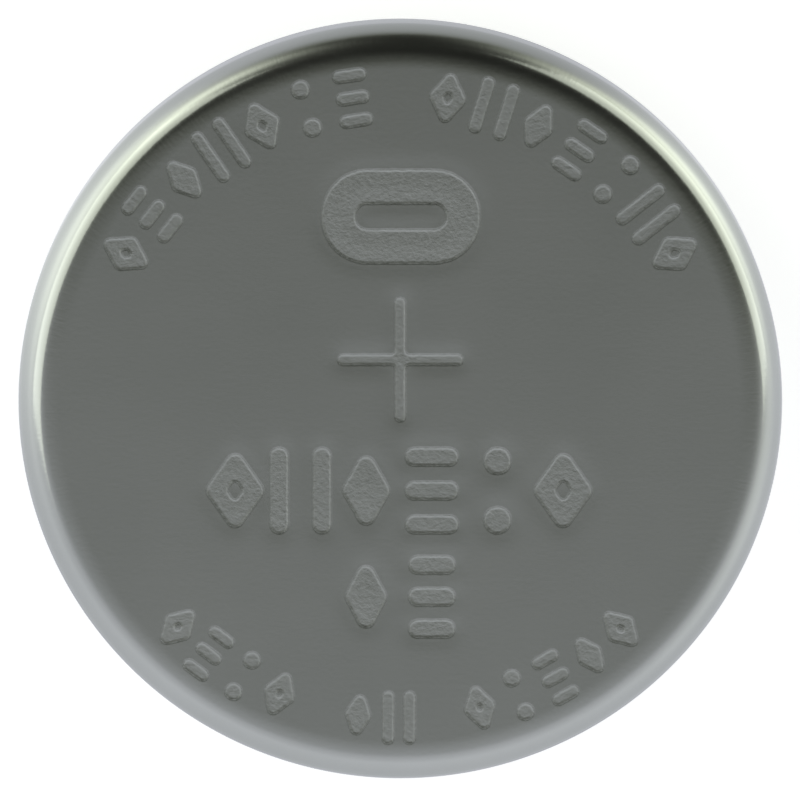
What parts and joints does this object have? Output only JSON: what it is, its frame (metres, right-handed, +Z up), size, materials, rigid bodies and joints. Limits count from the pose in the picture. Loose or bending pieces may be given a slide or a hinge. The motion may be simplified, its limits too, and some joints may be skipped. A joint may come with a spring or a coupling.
{
  "type": "lithium coin cell",
  "caption": "Thin round lithium coin cell: steel can with a flat positive face, curled over a plastic seal onto a stepped negative cap.",
  "frame": {"origin": "middle of the negative cap's contact face, the lowest face of the cell as it lies", "axes": "+Z up through the positive face along the cell's axis; +Y towards the top of the positive face's marking, +X to its right"},
  "size_m": [0.0125, 0.0124, 0.002],
  "materials": {
    "can_steel": "satin face, polished corner",
    "gasket_plastic": "moulded polypropylene",
    "cap_steel": "satin",
    "lithium": "rolled",
    "separator_sheet": "non-woven",
    "cathode_mix": "pressed powder",
    "ring_steel": "bright"
  },
  "bodies": {
    "root": {"positive_can": "can_steel", "sealing_gasket": "gasket_plastic", "negative_cap": "cap_steel", "lithium_anode": "lithium", "separator": "separator_sheet", "cathode_pellet": "cathode_mix", "cathode_ring": "ring_steel"}
  },
  "joints": []
}
